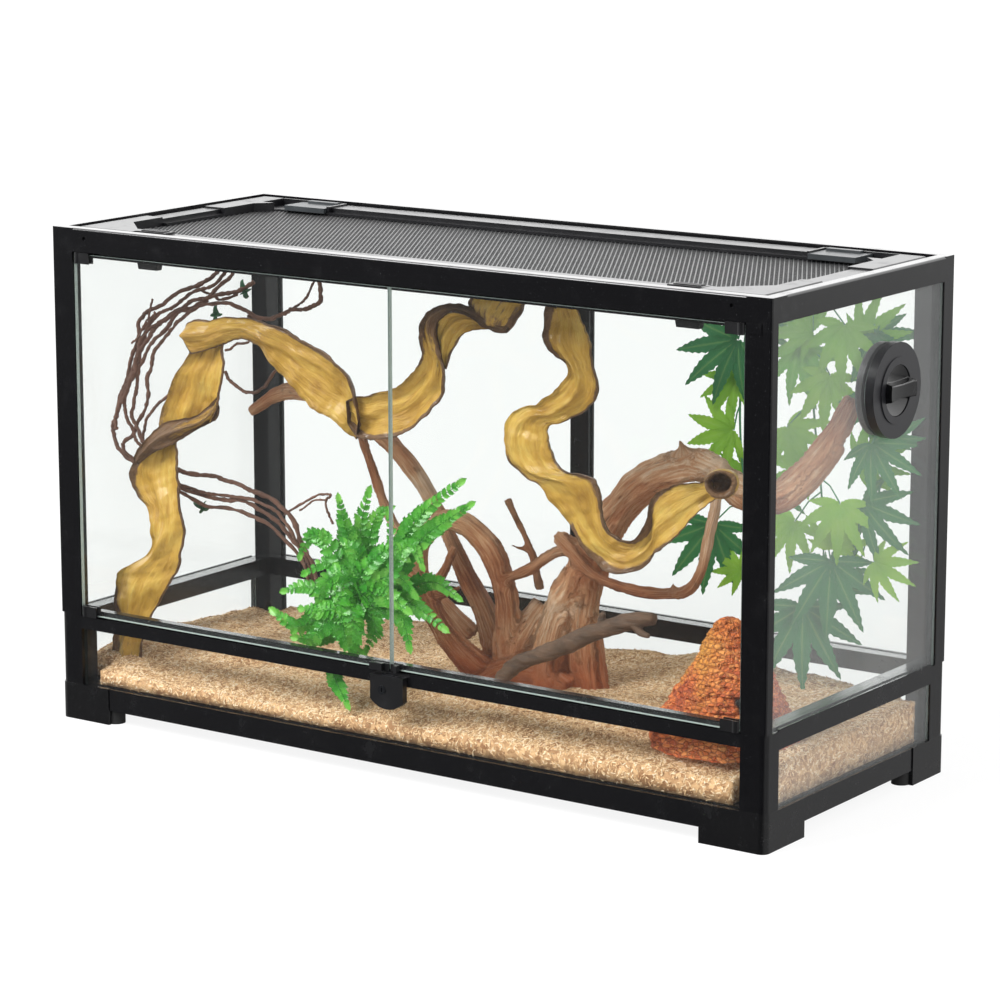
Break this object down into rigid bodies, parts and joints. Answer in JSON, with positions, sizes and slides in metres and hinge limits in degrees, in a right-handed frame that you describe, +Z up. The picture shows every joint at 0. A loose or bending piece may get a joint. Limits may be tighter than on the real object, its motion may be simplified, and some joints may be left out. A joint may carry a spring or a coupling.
{
  "type": "reptile terrarium",
  "caption": "Front-opening glass reptile terrarium with a black frame, mesh lid, lock, side port and planted interior.",
  "frame": {"origin": "centre of the whole object's box, on the surface that the pads stand on", "axes": "+X to the right along the front, +Y from the doors to the back, +Z up"},
  "size_m": [0.774, 0.3124, 0.46],
  "materials": {
    "frame_black": "satin, moulded",
    "fitting_black": "satin",
    "lid_black": "satin",
    "tank_glass": "clear",
    "lock_metal": "blackened",
    "mesh_black": "woven and painted",
    "gate_grey": "smoky",
    "pad_rubber": "matte",
    "panel_grey": "matte",
    "litter": "loose shavings",
    "driftwood": "weathered",
    "vine_yellow": "glossy skin",
    "twig_brown": "bark",
    "fern_green": "moulded leaves",
    "leaf_green": "printed leaves",
    "rock_orange": "rough cast resin"
  },
  "bodies": {
    "tank": {"foot_front_left": "frame_black", "foot_front_right": "frame_black", "foot_rear_left": "frame_black", "foot_rear_right": "frame_black", "foot_pads": "pad_rubber", "base_rail_front": "frame_black", "base_rail_back": "frame_black", "base_rail_left": "frame_black", "base_rail_right": "frame_black", "base_panel": "panel_grey", "lower_posts": "frame_black", "upper_post_front_left": "frame_black", "upper_post_front_right": "frame_black", "upper_post_rear_left": "frame_black", "upper_post_rear_right": "frame_black", "mid_rail_front": "frame_black", "mid_rail_back": "frame_black", "mid_rail_left": "frame_black", "mid_rail_right": "frame_black", "centre_bar": "frame_black", "top_rail_front": "frame_black", "top_rail_back": "frame_black", "top_rail_left": "frame_black", "top_rail_right": "frame_black", "top_corner_caps": "frame_black", "lower_pane_front": "tank_glass", "lower_pane_back": "tank_glass", "lower_pane_left": "tank_glass", "lower_pane_right": "tank_glass", "upper_pane_left": "tank_glass", "upper_pane_right": "tank_glass", "upper_panes_back": "tank_glass", "lock_housing": "fitting_black", "port_ring": "fitting_black", "port_nut": "fitting_black", "substrate": "litter", "driftwood": "driftwood", "vine": "vine_yellow", "twigs": "twig_brown", "fern": "fern_green", "leaf_plant": "leaf_green", "rock_hide": "rock_orange", "stick": "twig_brown"},
    "door_left": {"door_glass_left": "tank_glass", "hinge_clamps_left": "fitting_black", "strike_left": "fitting_black"},
    "door_right": {"door_glass_right": "tank_glass", "hinge_clamps_right": "fitting_black", "strike_right": "fitting_black"},
    "lock_key": {"lock_cylinder": "lock_metal"},
    "lock_bolt": {"lock_bolt": "lock_metal"},
    "lid": {"lid_rails": "lid_black", "lid_corners": "lid_black", "lid_mesh": "mesh_black"},
    "latch_left": {"latch_left": "fitting_black"},
    "latch_right": {"latch_right": "fitting_black"},
    "gate_left": {"cable_gate_left": "gate_grey"},
    "gate_right": {"cable_gate_right": "gate_grey"},
    "port_plug": {"port_plug": "fitting_black"},
    "port_knob": {"port_knob": "fitting_black"}
  },
  "joints": [
    {"name": "door_left_swing", "type": "hinge", "parent": "tank", "child": "door_left", "pos_m": [-0.3565, -0.14725, 0.1], "axis": [0, 0, -1], "range_deg": [0, 110]},
    {"name": "door_right_swing", "type": "hinge", "parent": "tank", "child": "door_right", "pos_m": [0.3445, -0.14725, 0.1], "axis": [0, 0, 1], "range_deg": [0, 110]},
    {"name": "key_turn", "type": "hinge", "parent": "tank", "child": "lock_key", "pos_m": [-0.011, -0.15325, 0.083], "axis": [0, -1, 0], "range_deg": [0, 95]},
    {"name": "bolt_slide", "type": "slide", "parent": "tank", "child": "lock_bolt", "axis": [0, 0, 1], "range_m": [0, 0.007]},
    {"name": "lid_lift", "type": "slide", "parent": "tank", "child": "lid", "axis": [0, 0, 1], "range_m": [0, 0.06]},
    {"name": "latch_left_slide", "type": "slide", "parent": "lid", "child": "latch_left", "axis": [0, -1, 0], "range_m": [0, 0.005]},
    {"name": "latch_right_slide", "type": "slide", "parent": "lid", "child": "latch_right", "axis": [0, -1, 0], "range_m": [0, 0.005]},
    {"name": "gate_left_slide", "type": "slide", "parent": "lid", "child": "gate_left", "axis": [-1, 0, 0], "range_m": [0, 0.026]},
    {"name": "gate_right_slide", "type": "slide", "parent": "lid", "child": "gate_right", "axis": [1, 0, 0], "range_m": [0, 0.026]},
    {"name": "port_pull", "type": "slide", "parent": "tank", "child": "port_plug", "axis": [1, 0, 0], "range_m": [0, 0.02]},
    {"name": "port_turn", "type": "hinge", "parent": "port_plug", "child": "port_knob", "pos_m": [0.38, 0.04675, 0.358], "axis": [1, 0, 0], "range_deg": [0, 60]}
  ],
  "couplings": [
    {"joint": "key_turn", "follows": "bolt_slide", "rad_per_m": 224.4}
  ]
}
